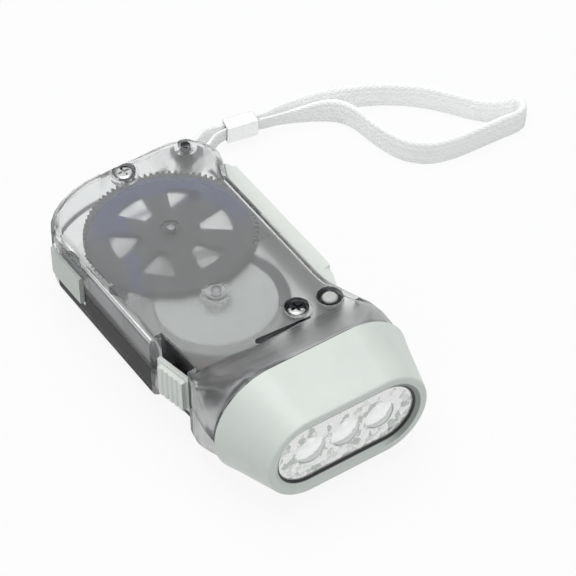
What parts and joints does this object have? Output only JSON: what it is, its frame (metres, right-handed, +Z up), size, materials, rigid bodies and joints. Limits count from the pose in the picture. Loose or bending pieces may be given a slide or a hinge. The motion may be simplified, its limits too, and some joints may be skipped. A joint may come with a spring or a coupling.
{
  "type": "squeeze dynamo flashlight",
  "caption": "Hand-squeezed dynamo flashlight: smoky clear body over a gear train and generator, lamp head in front, side lever, slide switch, lock button and braided wrist strap.",
  "frame": {"origin": "centre of the body's footprint on the surface it lies on, the strap left out", "axes": "+Z up, -Y the way the lamps shine, +Y towards the tail, +X towards the hand lever"},
  "size_m": [0.1352, 0.1128, 0.0327],
  "materials": {
    "smoke_clear": "polished smoky clear plastic",
    "pale_plastic": "satin light grey",
    "clear_plastic": "polished clear plastic",
    "silvered_plastic": "vacuum silvered",
    "lamp_clear": "clear lamp body",
    "board": "circuit board",
    "dark_plastic": "moulded",
    "gear_plastic": "moulded",
    "disc_plastic": "moulded",
    "magnet": "sintered",
    "steel": "plated",
    "copper": "enamelled copper wire",
    "blue_wire": "insulated wire",
    "braid": "flat woven braid"
  },
  "bodies": {
    "flashlight_body": {"top_case": "smoke_clear", "bottom_case": "smoke_clear", "head_bezel": "pale_plastic", "front_lens": "clear_plastic", "reflector": "silvered_plastic", "led_left": "lamp_clear", "led_centre": "lamp_clear", "led_right": "lamp_clear", "led_board": "board", "lever_spring": "steel", "lever_pivot_pin": "pale_plastic", "gear_shaft": "steel", "rotor_shaft": "steel", "stator_poles": "steel", "stator_base": "steel", "coil_bobbin": "dark_plastic", "coil_winding": "copper", "coil_wire": "blue_wire", "cell_left": "steel", "cell_centre": "steel", "cell_right": "steel", "contact_left": "steel", "contact_right": "steel", "switch_body": "dark_plastic", "case_screw_tail": "steel", "case_screw_head": "steel", "strap_post": "dark_plastic", "strap_anchor_loop": "braid", "strap_crimp": "steel", "wrist_strap": "braid"},
    "lever": {"squeeze_lever": "pale_plastic", "lever_rack": "gear_plastic"},
    "gear_train": {"rack_pinion": "gear_plastic", "ratchet_pawl": "gear_plastic", "drive_gear": "gear_plastic"},
    "rotor": {"rotor_pinion": "gear_plastic", "flywheel": "disc_plastic", "ring_magnet": "magnet"},
    "lock": {"lock_button": "pale_plastic"},
    "switch": {"switch_button": "pale_plastic"}
  },
  "joints": [
    {"name": "rotor_spin", "type": "hinge", "parent": "flashlight_body", "child": "rotor", "pos_m": [-0.0044, -0.00075, 0.01385], "axis": [0, -0.0721, -0.9974], "range_deg": [-1716, 0]},
    {"name": "lever_squeeze", "type": "hinge", "parent": "flashlight_body", "child": "lever", "pos_m": [0.017, -0.01863, 0.01514], "axis": [0, -0.0721, -0.9974], "range_deg": [0, 22]},
    {"name": "gear_turn", "type": "hinge", "parent": "flashlight_body", "child": "gear_train", "pos_m": [-0.0019, 0.02406, 0.01205], "axis": [0, -0.0721, -0.9974], "range_deg": [0, 279.4]},
    {"name": "lock_press", "type": "slide", "parent": "flashlight_body", "child": "lock", "axis": [1, 0, 0], "range_m": [0, 0.002], "stiffness_N_per_m": 300},
    {"name": "switch_slide", "type": "slide", "parent": "flashlight_body", "child": "switch", "axis": [-0.184, 0.9804, -0.0709], "range_m": [0, 0.002]}
  ],
  "couplings": [
    {"joint": "lever_squeeze", "follows": "rotor_spin", "ratio": -0.012818},
    {"joint": "gear_turn", "follows": "rotor_spin", "ratio": -0.16279}
  ]
}
